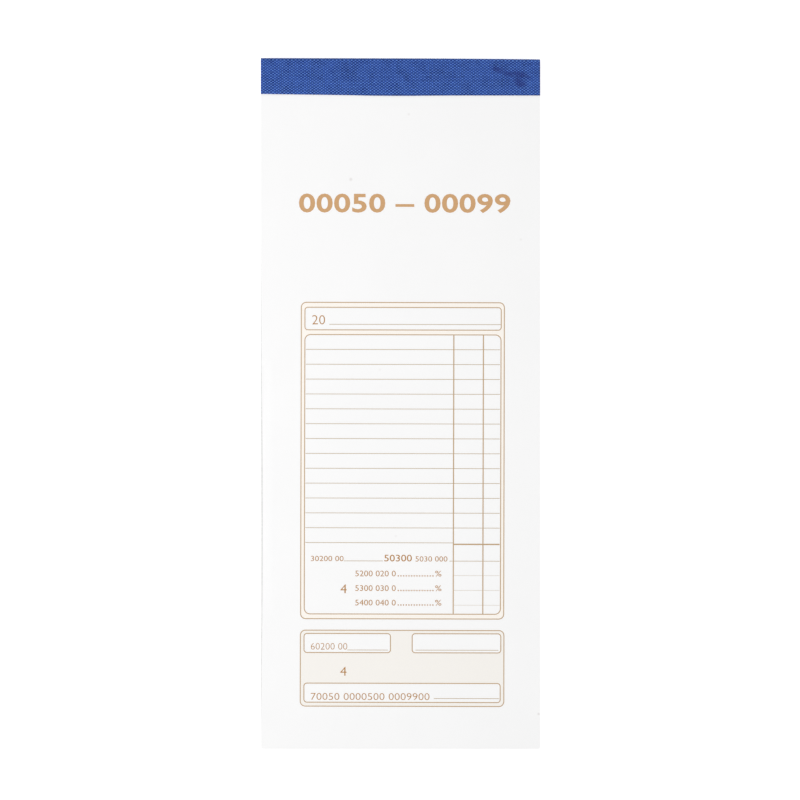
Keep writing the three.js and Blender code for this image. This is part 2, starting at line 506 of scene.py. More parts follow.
def mesh_from_parts(name, parts):
    """One mesh from parts of (points, faces, material index)."""
    points, faces, indices = [], [], []
    for part_points, part_faces, material_index in parts:
        start = len(points)
        points += part_points
        faces += [tuple(corner + start for corner in face) for face in part_faces]
        indices += [material_index] * len(part_faces)
    mesh = bpy.data.meshes.new(name)
    mesh.from_pydata(points, [], faces)
    mesh.polygons.foreach_set("material_index", indices)
    mesh.update()
    return mesh


def spaced(low, high, step):
    """Evenly spaced values from low to high, about step apart."""
    count = max(1, round((high - low) / step))
    return [low + (high - low) * i / count for i in range(count + 1)]


def sheet_mesh(name, across, along, low, high, left_out=None):
    """A closed sheet on a grid of lines across and along, without the cells that left_out picks."""
    columns, rows = len(across) - 1, len(along) - 1
    cells = [(i, j) for i in range(columns) for j in range(rows)]
    kept = {cell for cell in cells if left_out is None or not left_out(*cell)}
    layer = len(across) * len(along)

    def corner(i, j, top):
        return i * len(along) + j + (layer if top else 0)

    points = [(x, y, z) for z in (low, high) for x in across for y in along]
    faces = []
    for i, j in kept:
        ring = [(i, j), (i + 1, j), (i + 1, j + 1), (i, j + 1)]
        faces.append(tuple(corner(a, b, True) for a, b in ring))
        faces.append(tuple(corner(a, b, False) for a, b in reversed(ring)))
        beyond = [(i, j - 1), (i + 1, j), (i, j + 1), (i - 1, j)]
        for side, neighbour in enumerate(beyond):
            if neighbour in kept:
                continue
            start, end = ring[side], ring[(side + 1) % 4]
            wall = [(start, False), (end, False), (end, True), (start, True)]
            faces.append(tuple(corner(*place, top) for place, top in wall))
    mesh = bpy.data.meshes.new(name)
    mesh.from_pydata(points, [], sorted(faces))
    return edited(mesh, drop_loose_points)


class Growth(Tree):
    """A Geometry Nodes tree with a named input for each size."""

    def __init__(self, name, sizes):
        super().__init__(bpy.data.node_groups.new(name, "GeometryNodeTree"))
        self.name, self.sizes = name, sizes
        face = self.tree.interface
        face.new_socket("Geometry", in_out="INPUT", socket_type="NodeSocketGeometry")
        for label, value in sizes.items():
            kind = "NodeSocketInt" if isinstance(value, int) else "NodeSocketFloat"
            face.new_socket(label, in_out="INPUT", socket_type=kind)
        face.new_socket("Geometry", in_out="OUTPUT", socket_type="NodeSocketGeometry")
        self.inputs = self.add("NodeGroupInput")

    def make(self, kind, sockets=None, **settings):
        """Adds a geometry node and returns its first output."""
        return self.add(f"GeometryNode{kind}", sockets, **settings)[0]

    def stored(self, geometry, name, value, data_type="FLOAT", domain="POINT"):
        """The geometry with a value kept in a named attribute."""
        sockets = {0: geometry, "Name": name, "Value": value}
        return self.make("StoreNamedAttribute", sockets, data_type=data_type, domain=domain)

    def recalled(self, name, data_type):
        """The value of a named attribute."""
        return self.make("InputNamedAttribute", {0: name}, data_type=data_type)

    def copies(self, points, shape, **choice):
        """Copies of a shape on points, made real."""
        copies = self.make("InstanceOnPoints", {0: points, "Instance": shape, **choice})
        return self.make("RealizeInstances", {0: copies})

    def grown(self, base, geometry, material):
        """The plain mesh that the finished tree makes of a base object, which is then removed."""
        real = self.make("RealizeInstances", {0: geometry})
        finished = self.make("SetMaterial", {0: real, "Material": material})
        self.add("NodeGroupOutput", {0: finished})
        modifier = base.modifiers.new(self.name, "NODES")
        modifier.node_group = self.tree
        for item in self.tree.interface.items_tree:
            if item.in_out == "INPUT" and item.name in self.sizes:
                modifier[item.identifier] = self.sizes[item.name]
        bpy.context.view_layer.update()
        depsgraph = bpy.context.evaluated_depsgraph_get()
        mesh = bpy.data.meshes.new_from_object(base.evaluated_get(depsgraph), depsgraph=depsgraph)
        mesh.name = self.name
        bpy.data.objects.remove(base)
        return mesh


# The printed form, in millimetres from the middle of the pad, with boxes as left, bottom, right, top


TITLE = "00050 – 00099"
TITLE_BOX = (-31.2, 58.25, 33.1, 64.1)
TITLE_WEIGHT = 0.022
TITLE_SPACING = 1.05
FIRST_NUMBER = 50
LINE, RULE, NUMBER, BAND, PANEL, BOLD = range(6)
FORM_FRAME = (-30.4, -65.2, 31.35, 31.0)
DATE_BOX = (-29.3, 22.65, 30.4, 29.5)
TABLE_BOX = (-29.3, -63.75, 30.35, 21.2)
COUPON_FRAME = (-30.45, -91.8, 31.45, -68.7)
COUPON_BOXES = (
    (-29.35, -75.5, -3.05, -69.7),
    (3.55, -75.5, 30.5, -69.7),
    (-29.35, -90.6, 30.35, -84.8),
)
FRAME_CORNER = 1.5
BOX_CORNER = 0.9
TABLE_CORNER = 1.7
COLUMNS = (16.0, 25.0)
ROWS_TOP = 16.7
ROW_PITCH = 4.52
ROW_COUNT = 14
TOTAL_LINE = -42.5
TOTAL_SHARE = 1.25
SUM_LINE = -47.6
COUPON_LINE = -74.7
SHORT_ROWS = (-52.0, -56.5, -61.0)
FAINT_SHARE = 0.4
# Writing lines: left end, right end, height on the sheet
WRITING_LINES = (
    (-21.9, 30.2, 24.34),
    (-17.3, -5.4, SUM_LINE),
    (14.8, 15.8, SUM_LINE),
    (-16.15, -3.85, COUPON_LINE),
    (4.55, 29.75, COUPON_LINE),
    (10.15, 30.05, -89.4),
)
LABEL_WEIGHT = -0.003
# Labels: text, box, how much bolder than the typeface
FIELD_NUMBERS = (
    ("20", (-27.1, 24.3, -23.2, 27.1), -0.012),
    ("30200 00", (-27.3, -47.7, -17.4, -46.1), LABEL_WEIGHT),
    ("50300", (-5.0, -47.75, 3.4, -45.7), 0.003),
    ("5030 000", (4.5, -47.75, 14.2, -46.15), LABEL_WEIGHT),
    ("60200 00", (-27.25, -74.6, -16.2, -72.6), -0.015),
    ("70050 0000500 0009900", (-27.25, -89.9, 8.85, -87.8), -0.011),
)
TAX_BASELINES = (-52.3, -56.75, -61.15)
TAX_HEIGHT = 1.75
TAX_LABEL_SPAN = (-13.8, -1.5)
LEADER_SPAN = (-0.9, 10.7)
PERCENT_SPAN = (10.5, 12.4)
FOLIO_PLACES = (-57.45, -82.5)
FOLIO_MIDDLE = -17.35
FOLIO_HEIGHT = 2.7
FOLIO_DIGIT = 1.9
FOLIO_WEIGHT = -0.005
CORNER_STEPS = 6
DOT_PITCH = 0.81
DOT_SIZE = 0.36
# Heights about the sheet's face: underside of the print, top of a tint, top of a line
COVER_LAYERS = (-0.05, 0.015, 0.03)
LEAF_LAYERS = (-0.02, 0.009, 0.016)


def rounded_loop(box, radius, grow):
    """The outline of a box with rounded corners, moved outwards by grow, counter-clockwise."""
    left, bottom, right, top = box
    left, bottom, right, top = left - grow, bottom - grow, right + grow, top + grow
    radius += grow
    centres = [
        (right - radius, top - radius, 0),
        (left + radius, top - radius, 1),
        (left + radius, bottom + radius, 2),
        (right - radius, bottom + radius, 3),
    ]
    loop = []
    for x, y, quarter in centres:
        for i in range(CORNER_STEPS + 1):
            angle = (quarter + i / CORNER_STEPS) * math.pi / 2
            loop.append((x + radius * math.cos(angle), y + radius * math.sin(angle)))
    return loop


def rectangle(left, bottom, right, top):
    return [(left, bottom), (right, bottom), (right, top), (left, top)]


def area_of(loop):
    return sum(a[0] * b[1] - b[0] * a[1] for a, b in zip(loop, loop[1:] + loop[:1])) / 2


def slab(loops, low, high):
    """Points and faces of a closed slab: the first loop is its outline and the others are holes."""
    turned = []
    for order, loop in enumerate(loops):
        wanted = 1 if order == 0 else -1
        turned.append(loop if area_of(loop) * wanted > 0 else loop[::-1])
    flat = [point for loop in turned for point in loop]
    count = len(flat)
    points = [(x, y, low) for x, y in flat] + [(x, y, high) for x, y in flat]
    faces = []
    for a, b, c in tessellate_polygon([[Vector((x, y, 0)) for x, y in loop] for loop in turned]):
        ahead = area_of([flat[a], flat[b], flat[c]]) > 0
        up = (a, b, c) if ahead else (c, b, a)
        faces.append(tuple(i + count for i in up))
        faces.append(up[::-1])
    start = 0
    for loop in turned:
        for i in range(len(loop)):
            here, following = start + i, start + (i + 1) % len(loop)
            faces.append((here, following, following + count, here + count))
        start += len(loop)
    return points, faces


def lettering(text, box, low, high, weight=0.0, spacing=1.0):
    """Points and faces of plain numbers that fill a box, thickened by weight."""
    left, bottom, right, top = box
    curve = bpy.data.curves.new("numbers", "FONT")
    curve.body = text
    curve.offset = weight
    curve.space_character = spacing
    curve.extrude = 0.5
    curve.resolution_u = 4
    source = linked("numbers", curve)
    depsgraph = bpy.context.evaluated_depsgraph_get()
    mesh = edited(bpy.data.meshes.new_from_object(source.evaluated_get(depsgraph)), weld)
    bpy.data.objects.remove(source)
    places = [vertex.co.copy() for vertex in mesh.vertices]
    lows = [min(place[axis] for place in places) for axis in range(3)]
    highs = [max(place[axis] for place in places) for axis in range(3)]
    targets = ((left, right), (bottom, top), (low, high))
    points = []
    for place in places:
        share = [(place[k] - lows[k]) / (highs[k] - lows[k]) for k in range(3)]
        points.append(tuple(a + (b - a) * s for (a, b), s in zip(targets, share)))
    faces = [tuple(face.vertices) for face in mesh.polygons]
    bpy.data.meshes.remove(mesh)
    return points, faces


def dotted_leader(left, right, y, low, high):
    """A row of small dots."""
    parts = []
    for i in range(int((right - left) / DOT_PITCH)):
        x = left + i * DOT_PITCH
        parts.append(slab([rectangle(x, y, x + DOT_SIZE, y + DOT_SIZE)], low, high))
    return parts


def form_parts(settings, layers):
    """All parts of the ruled form as (points, faces, material index)."""
    low, tint_high, high = layers
    half = settings.frame_line / MM / 2
    ruled = settings.ruled_line / MM
    column = settings.column_line / MM
    parts = []

    def outline(box, corner):
        loops = [rounded_loop(box, corner, grow) for grow in (half, -half)]
        parts.append((*slab(loops, low, high), LINE))

    def tinted(frame_box, boxes, index):
        loops = [rounded_loop(frame_box, FRAME_CORNER, -half)]
        loops += [rounded_loop(box, corner, half) for box, corner in boxes]
        parts.append((*slab(loops, low, tint_high), index))
        outline(frame_box, FRAME_CORNER)
        for box, corner in boxes:
            outline(box, corner)

    def bar(left, bottom, right, top, index):
        parts.append((*slab([rectangle(left, bottom, right, top)], low, high), index))

    def rule(left, right, y, width, index=RULE):
        bar(left, y - width / 2, right, y + width / 2, index)

    tinted(FORM_FRAME, [(DATE_BOX, BOX_CORNER), (TABLE_BOX, TABLE_CORNER)], BAND)
    tinted(COUPON_FRAME, [(box, BOX_CORNER) for box in COUPON_BOXES], PANEL)

    left, bottom, right, top = TABLE_BOX
    for x in COLUMNS:
        bar(x - column / 2, bottom + half, x + column / 2, top - half, LINE)
    stretches = [left + half, *COLUMNS, right - half]
    gaps = [(start + column / 2, end - column / 2) for start, end in zip(stretches, stretches[1:])]
    for row in range(ROW_COUNT):
        last = row == ROW_COUNT - 1
        for gap in gaps[:1] if last else gaps:
            rule(*gap, ROWS_TOP - row * ROW_PITCH, ruled)
    for gap in gaps[1:]:
        rule(*gap, TOTAL_LINE, column * TOTAL_SHARE, LINE)
        for y in SHORT_ROWS:
            rule(*gap, y, ruled * FAINT_SHARE)
        rule(*gap, SUM_LINE, ruled)
    for start, end, y in WRITING_LINES:
        rule(start, end, y, ruled)

    def box_on(span, baseline):
        return (span[0], baseline, span[1], baseline + TAX_HEIGHT)

    for text, place, weight in FIELD_NUMBERS:
        parts.append((*lettering(text, place, low, high, weight), NUMBER))
    for row, baseline in enumerate(TAX_BASELINES, start=2):
        label_box = box_on(TAX_LABEL_SPAN, baseline)
        label = lettering(f"5{row}00 0{row}0 0", label_box, low, high, LABEL_WEIGHT)
        percent = lettering("%", box_on(PERCENT_SPAN, baseline), low, high)
        dots = dotted_leader(*LEADER_SPAN, baseline, low, high)
        parts += [(*part, NUMBER) for part in (label, percent, *dots)]
    return parts


def folio_parts(folio, layers):
    """The number of one bill, at its place on the form and on the coupon."""
    half = FOLIO_DIGIT / 2 * len(folio)
    parts = []
    for bottom in FOLIO_PLACES:
        place = (FOLIO_MIDDLE - half, bottom, FOLIO_MIDDLE + half, bottom + FOLIO_HEIGHT)
        parts.append((*lettering(folio, place, layers[0], layers[2], FOLIO_WEIGHT), NUMBER))
    return parts


def print_mesh(name, parts, settings, height):
    """One mesh of the parts in metres, turned and moved a little on a sheet whose face is at height."""
    cosine, sine = math.cos(settings.skew), math.sin(settings.skew)
    right, up = settings.place

    def placed(x, y, z):
        across, along = x * cosine - y * sine, x * sine + y * cosine
        return (across * MM + right, along * MM + up, z * MM + height)

    moved = [([placed(*point) for point in points], faces, index) for points, faces, index in parts]
    return mesh_from_parts(name, moved)


# Shapes of the cover and the leaves


SHEET_SEED = 7
TIE_PITCH = 2.1 * MM
TIE_WIDTH = 0.7 * MM
STUB_TIE = 0.15 * MM
GLUE_INSET = 0.25 * MM
GLUE_SINK = 0.01 * MM
NEAR_ENOUGH = 0.01 * MM
CARD_STEP = 4 * MM
CARD_ANGLE = math.radians(40)
# Where the real card's bend begins and ends, below the tape's front edge; the sheet's rows are made finer
# about it
FOLD_NEAR = 0.35 * MM
FOLD_FAR = 1.7 * MM
FOLD_STEP = 0.12 * MM
# Left edge of the card in millimetres: where its slope begins, its length, its width, how far it is
# set back, and how much sooner that ends than the slope
SLOPE_FOOT = -102
SLOPE_LENGTH = 152
SLOPE_WIDTH = 0.42
SET_BACK = 0.22
SET_BACK_RATE = 1.35
# Head edge in millimetres: how far it lies out at the middle, falls towards the right, and drops more there
TRIM_MIDDLE = 0.14
TRIM_FALL = 0.1
TRIM_DROP = 0.2


def trimmed(mesh):
    """Moves what is bound in the head to its edge, which was trimmed a little off square."""
    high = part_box("binding_tape")[1]
    for vertex in mesh.vertices:
        place = vertex.co
        across = place.x / high.x
        share = (place.y - FOLD[1]) / (high.y - FOLD[1])
        trim = TRIM_MIDDLE - TRIM_FALL * across - TRIM_DROP * max(0.0, across) ** 2
        place.y += max(0.0, share) * trim * MM


def slope_left_edge(mesh, left, top):
    """Slopes the card's cut edge on the left, where the blade ran off square, and gives its left wall the
    grey painted shade.
    """
    for face in mesh.polygons:
        # The left wall takes the second material, the grey painted shade
        if face.normal.x < -0.9:
            face.material_index = 1
    for vertex in mesh.vertices:
        place = vertex.co
        if place.x > left + NEAR_ENOUGH:
            continue
        share = (place.y / MM - SLOPE_FOOT) / SLOPE_LENGTH
        slope = max(0.0, math.sin(share * math.pi)) * SLOPE_WIDTH * MM
        set_back = max(0.0, math.sin(share * math.pi * SET_BACK_RATE)) * SET_BACK * MM
        place.x += set_back + (slope if place.z > top - NEAR_ENOUGH else 0.0)


def tie_edges(low, high, stray):
    """Places across the sheet where its edges, held in by stray, and the sides of its ties lie."""
    ties = math.floor((high.x - low.x) / TIE_PITCH)
    across = [low.x + stray]
    for i in range(ties):
        centre = (i - (ties - 1) / 2) * TIE_PITCH
        across += [centre - TIE_WIDTH / 2, centre + TIE_WIDTH / 2]
    return [*across, high.x - stray]


def between_ties(row):
    """Picks the cells between the ties in one row of a sheet's grid."""
    return lambda i, j: j == row and i % 2 == 0


def bound_ends_mesh(base, sizes, material):
    """A stack of copies of one bound leaf end, each strayed a little sideways."""
    nodes = Growth("bound_ends", sizes)
    inputs = nodes.inputs
    sockets = {"Count": inputs["Sheets"], "Offset": nodes.vector(z=inputs["Pitch"])}
    line = nodes.make("MeshLine", sockets)
    away = nodes.vector(inputs["Stray"], inputs["Stray"])
    sockets = {"Min": nodes.scaled(away, -1.0), "Max": away, "Seed": SHEET_SEED}
    stray = nodes.add("FunctionNodeRandomValue", sockets, data_type="FLOAT_VECTOR")[0]
    strayed = nodes.make("SetPosition", {0: line, "Offset": stray})
    return nodes.grown(base, nodes.copies(strayed, inputs["Geometry"]), material)


# Shapes of the cloth tape


FRAY_SEED = 11
FRAY_REACH = 0.12
WARP_SEED = 3
WEFT_SEED = 5
TURN_STEPS = 8
FILLER_THICKNESS = 0.3 * MM
FILLER_INSET = 0.02 * MM
FILLER_STEP = 0.5 * MM
# Front edge of the tape in millimetres: how far it lies out all along, is drawn back at the left end,
# and lies out more about the middle
BOW_OUT = 0.2
BOW_LEFT = 0.46
BOW_MIDDLE = 0.1
# As shares of half its width: where it begins to be drawn back, and how wide the middle is
BOW_LEFT_START = 0.2
BOW_MIDDLE_WIDTH = 0.25


def tape_path(outer_radius, depth):
    """Points of the tape's profile, depth below its outer surface, from the front edge to the back edge."""
    low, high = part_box("binding_tape")
    radius = outer_radius - depth
    top, bottom, spine = high.z - depth, low.z + depth, high.y - depth
    path = [(FOLD[1], top)]
    for centre_z, first in ((top - radius, 90), (bottom + radius, 0)):
        for i in range(TURN_STEPS + 1):
            angle = math.radians(first - 90 * i / TURN_STEPS)
            path.append((spine - radius + radius * math.cos(angle), centre_z + radius * math.sin(angle)))
    path.append((low.y, bottom))
    return path


def bowed(mesh):
    """Lets the tape's front edge bow."""
    low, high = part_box("binding_tape")
    for vertex in mesh.vertices:
        place = vertex.co
        across = place.x / high.x
        share = (high.y - place.y) / (high.y - FOLD[1])
        if place.z > (low.z + high.z) / 2:
            left = max(0.0, -(across + BOW_LEFT_START) / (1 - BOW_LEFT_START))
            middle = math.exp(-((across / BOW_MIDDLE_WIDTH) ** 2))
            place.y += share * (BOW_LEFT * left - BOW_MIDDLE * middle - BOW_OUT) * MM


def curve_base(name, path):
    """A poly curve in the middle plane of the pad through points given along the pad and up."""
    curve = bpy.data.curves.new(name, "CURVE")
    curve.dimensions = "3D"
    spline = curve.splines.new("POLY")
    spline.points.add(len(path) - 1)
    for point, (y, z) in zip(spline.points, path):
        point.co = (0.0, y, z, 1.0)
    return linked(name, curve)


def outward_normal(nodes):
    """The direction out of the cloth at a point of its profile."""
    sockets = {0: (1.0, 0.0, 0.0), 1: nodes.make("InputTangent")}
    return nodes.add("ShaderNodeVectorMath", sockets, operation="CROSS_PRODUCT")[0]


def resampled(nodes, curves, crossings):
    """The curves with a point at each crossing and one between each two."""
    count = nodes.math("MULTIPLY_ADD", crossings, 2.0, 1.0)
    return nodes.make("ResampleCurve", {0: curves, "Count": count})


def woven(nodes, curves, outward, shift, seed):
    """Threads of a flattened section that swing out and in, each opposite to the next."""
    inputs = nodes.inputs
    thread = nodes.recalled("thread", "INT")
    along = nodes.times(nodes.make("SplineParameter"), inputs["Crossings"])
    phase = nodes.plus(nodes.plus(along, shift), thread)
    swing = nodes.math("COSINE", nodes.times(phase, math.pi))
    sockets = {"ID": thread, "Seed": seed}
    tone = nodes.add("FunctionNodeRandomValue", sockets, data_type="FLOAT")[1]
    toned = nodes.stored(curves, "tone", tone, domain="CURVE")
    sockets = {0: nodes.stored(toned, "lift", swing), "Normal": outward}
    normals = nodes.make("SetCurveNormal", sockets, mode="FREE")
    offset = nodes.scaled(outward, nodes.times(swing, inputs["Rise"]))
    moved = nodes.make("SetPosition", {0: normals, "Offset": offset})
    circle = nodes.make("CurvePrimitiveCircle", {"Resolution": 4, "Radius": 1.0})
    flattened = nodes.vector(inputs["Half height"], inputs["Half width"], 1.0)
    section = nodes.make("Transform", {0: circle, "Scale": flattened})
    tubes = nodes.make("CurveToMesh", {0: moved, 1: section, "Fill Caps": True})
    return nodes.make("SetShadeSmooth", {0: tubes})


def warp_mesh(base, sizes, material):
    """The threads that run along the pad and round its head."""
    nodes = Growth("warp_threads", sizes)
    inputs = nodes.inputs
    span = nodes.times(nodes.math("SUBTRACT", inputs["Threads"], 1.0), inputs["Pitch"])
    first = nodes.vector(nodes.times(span, -0.5))
    step = nodes.vector(inputs["Pitch"])
    sockets = {"Count": inputs["Threads"], "Start Location": first, "Offset": step}
    line = nodes.make("MeshLine", sockets)
    numbered = nodes.stored(line, "thread", nodes.make("InputIndex"), "INT")
    copies = nodes.copies(numbered, inputs["Geometry"])
    fine = resampled(nodes, copies, inputs["Crossings"])
    return nodes.grown(base, woven(nodes, fine, outward_normal(nodes), -0.5, WARP_SEED), material)


def weft_mesh(base, sizes, material):
    """The threads that run across the pad, one at each second point of the profile."""
    nodes = Growth("weft_threads", sizes)
    inputs = nodes.inputs
    fine = resampled(nodes, inputs["Geometry"], inputs["Threads"])
    number = nodes.make("InputIndex")
    outward = nodes.stored(fine, "outward", outward_normal(nodes), "FLOAT_VECTOR")
    half_number = nodes.times(nodes.math("SUBTRACT", number, 1.0), 0.5)
    numbered = nodes.stored(outward, "thread", half_number, "INT")
    half = nodes.times(nodes.times(inputs["Crossings"], inputs["Pitch"]), 0.5)
    left = nodes.vector(nodes.times(half, -1.0))
    straight = nodes.make("CurvePrimitiveLine", {"Start": left, "End": nodes.vector(half)})
    copies = nodes.copies(numbered, straight, Selection=nodes.math("MODULO", number, 2.0))
    fine = resampled(nodes, copies, inputs["Crossings"])
    direction = nodes.recalled("outward", "FLOAT_VECTOR")
    return nodes.grown(base, woven(nodes, fine, direction, 0.5, WEFT_SEED), material)


def filler_mesh(tape):
    """The closed base of the cloth: a ribbon round the head with a slightly ragged front edge."""
    rng = random.Random(FRAY_SEED)
    low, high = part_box("binding_tape")
    outside = tape_path(tape.corner_radius, tape.rise + tape.thread_height)
    inside = tape_path(tape.corner_radius, FILLER_THICKNESS)
    across = spaced(low.x + FILLER_INSET, high.x - FILLER_INSET, FILLER_STEP)
    ring = outside + inside[::-1]
    points, faces = [], []
    for x in across:
        stray = rng.uniform(0.0, FRAY_REACH) * MM
        for index, (y, z) in enumerate(ring):
            at_front = index in (0, len(ring) - 1)
            points.append((x, y + stray if at_front else y, z))
    size = len(ring)
    for i in range(len(across) - 1):
        for j in range(size):
            following = (j + 1) % size
            start, end = i * size, (i + 1) * size
            faces.append((start + j, end + j, end + following, start + following))
    last = (len(across) - 1) * size
    for j in range(len(outside) - 1):
        back = size - 1 - j
        faces.append((j, j + 1, back - 1, back))
        faces.append((last + back, last + back - 1, last + j + 1, last + j))
    return edited(mesh_from_parts("cloth_filler", [(points, faces, 0)]), face_outwards)


# Stage, in metres


FLOOR_HALF = 4.0
FLOOR_TONE = (0.85, 0.85, 0.85, 1.0)
FLOOR_GLOW = 0.6
FLOOR_GLOW_START = 0.35
FLOOR_GLOW_END = 1.2
# Width of the camera's sensor in millimetres
SENSOR_WIDTH = 36.0
# Lamps: name, place, size, the setting that holds the power
LAMPS = (
    ("overhead left", (-0.42, 0.1, 1.0), 0.7, "overhead"),
    ("overhead right", (0.42, -0.1, 1.0), 0.7, "overhead"),
    ("side", (-0.3, 0.0, 0.3), 0.2, "side"),
)


def seen_directly(nodes):
    """1 for rays from the camera, from a mirror or through glass, and 0 for the rest."""
    rays = nodes.add("ShaderNodeLightPath")
    either = nodes.most(rays["Is Camera Ray"], rays["Is Glossy Ray"])
    return nodes.most(either, rays["Is Transmission Ray"])


def make_floor():
    """A pale floor that looks white where it is lit and still takes the pad's shadow."""
    half = FLOOR_HALF
    mesh = bpy.data.meshes.new("floor")
    corners = [(-half, -half, 0), (half, -half, 0), (half, half, 0), (-half, half, 0)]
    mesh.from_pydata(corners, [], [(0, 1, 2, 3)])
    look = Look("white floor")
    look.finish(FLOOR_TONE, roughness=1.0, specular=0.0)
    far = look.clamped(look.distance(look.place), FLOOR_GLOW_START, FLOOR_GLOW_END)
    glow = look.math("MULTIPLY_ADD", far, 1.0 - FLOOR_GLOW, FLOOR_GLOW)
    seen_glow = look.times(seen_directly(look), glow)
    look.feed(look.shader, {"Emission Color": WHITE, "Emission Strength": seen_glow})
    floor = link_mesh("floor", mesh, [look.material])


def make_sky(scene, strength):
    """A white world that lights softly and is plain white where it is seen."""
    world = bpy.data.worlds.new("studio")
    world.use_nodes = True
    scene.world = world
    nodes = Tree(world.node_tree)
    light = nodes.math("MULTIPLY_ADD", seen_directly(nodes), 1.0 - strength, strength)
    nodes.feed(world.node_tree.nodes["Background"], {"Color": WHITE, "Strength": light})


def make_lamp(name, place, size, power):
    """A square soft lamp that faces the middle of the pad."""
    light = bpy.data.lights.new(name, "AREA")
    light.size = size
    light.energy = power
    lamp = linked(name, light)
    lamp.location = place
    lamp.rotation_euler = (-Vector(place)).to_track_quat("-Z", "Y").to_euler()


def make_camera(scene, stage):
    """A long lens straight above the pad."""
    data = bpy.data.cameras.new("camera")
    data.lens = stage.lens
    data.sensor_width = SENSOR_WIDTH
    height = stage.view_width * data.lens / data.sensor_width
    camera = linked("camera", data)
    camera.location = (*stage.view_centre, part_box("cover_panel")[1].z + height)
    data.clip_start, data.clip_end = 0.1, 10.0
    scene.camera = camera


# Operators, one for each piece or group


class BILLPAD_OT_stage(bpy.types.Operator):
    """Make the white floor, the light and the camera"""

    bl_idname = "billpad.stage"
    bl_label = "Stage"

    def execute(self, context):
        stage = context.scene.billpad_stage
        make_floor()
        make_sky(context.scene, stage.sky)
        for name, place, size, setting in LAMPS:
            make_lamp(name, place, size, getattr(stage, setting))
        make_camera(context.scene, stage)
        context.scene.view_settings.view_transform = "Standard"
        return {"FINISHED"}


class BILLPAD_OT_board(bpy.types.Operator):
    """Finish the chipboard back and the staples"""

    bl_idname = "billpad.board"
    bl_label = "Board and Staples"

    def execute(self, context):
        board, wire = board_material(context.scene.billpad_paper), wire_material()
        finishes = {"back_board": board, "staple_left": wire, "staple_right": wire}
        for name, material in finishes.items():
            node = frame["nodes"][name]
            node.data.materials.clear()
            node.data.materials.append(material)
        return {"FINISHED"}


class BILLPAD_OT_cover(bpy.types.Operator):
    """Make the card cover as one flat sheet, with finer rows about the tape's front edge, where the real
    cover folds
    """

    bl_idname = "billpad.cover"
    bl_label = "Card Cover"

    def execute(self, context):
        low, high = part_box("cover_panel")
        bound_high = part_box("cover_strip")[1]
        fold_start, fold_end = FOLD[1] - FOLD_NEAR, FOLD[1] - FOLD_FAR
        fine_start, fine_end = fold_end - 2 * MM, fold_start + 1 * MM
        along = spaced(low.y, fine_start, CARD_STEP)
        along += spaced(fine_start, fine_end, FOLD_STEP)[1:]
        along += spaced(fine_end, bound_high.y, CARD_STEP / 2)[1:]
        across = spaced(low.x, high.x, CARD_STEP)
        mesh = sheet_mesh("cover_sheet", across, along, low.z, high.z)
        slope_left_edge(mesh, low.x, high.z)
        trimmed(mesh)
        mesh.shade_smooth()
        mesh.set_sharp_from_angle(angle=CARD_ANGLE)
        paper = context.scene.billpad_paper
        sheet = link_mesh("cover_sheet", mesh, [card_material(paper), left_edge_shade_material()])
        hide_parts("cover_panel", "cover_strip")
        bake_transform(sheet)
        return {"FINISHED"}


class BILLPAD_OT_print(bpy.types.Operator):
    """Print the specimen form and a number range on the cover"""

    bl_idname = "billpad.print"
    bl_label = "Cover Print"

    def execute(self, context):
        settings = context.scene.billpad_print
        low, _, high = COVER_LAYERS
        parts = form_parts(settings, COVER_LAYERS) + folio_parts("4", COVER_LAYERS)
        title = lettering(TITLE, TITLE_BOX, low, high, TITLE_WEIGHT, TITLE_SPACING)
        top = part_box("cover_panel")[1].z
        mesh = print_mesh("cover_print", [*parts, (*title, BOLD)], settings, top)
        piece = link_mesh("cover_print", mesh, print_inks(settings, "cover"))
        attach(piece, COVER)
        return {"FINISHED"}


class BILLPAD_OT_leaves(bpy.types.Operator):
    """Make the perforated leaves and print each with its own number"""

    bl_idname = "billpad.leaves"
    bl_label = "Printed Leaves"

    def execute(self, context):
        paper = context.scene.billpad_paper
        settings = context.scene.billpad_print
        rng = random.Random(SHEET_SEED)
        sheet_look = leaf_material(paper)
        inks = print_inks(settings, "leaf", paper.leaf_colour)[:-1]
        form = form_parts(settings, LEAF_LAYERS)
        for name in LEAVES:
            low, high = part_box(name)
            number = int(name[len("leaf_"):])
            shift = rng.uniform(-1, 1) * paper.stagger
            foot = low.y + rng.uniform(0, 2) * paper.stagger
            across = [x + shift for x in tie_edges(low, high, paper.stagger)]
            along = [foot, high.y - paper.tooth_depth, high.y]
            mesh = sheet_mesh(name, across, along, low.z, high.z, between_ties(1))
            sheet = link_mesh(f"sheet_{number:02d}", mesh, [sheet_look])
            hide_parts(name)
            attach(sheet, name)
            folio = folio_parts(str(FIRST_NUMBER + number - 1), LEAF_LAYERS)
            mesh = print_mesh("leaf_print", form + folio, settings, high.z)
            printed = link_mesh(f"sheet_print_{number:02d}", mesh, inks)
            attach(printed, name)
        return {"FINISHED"}


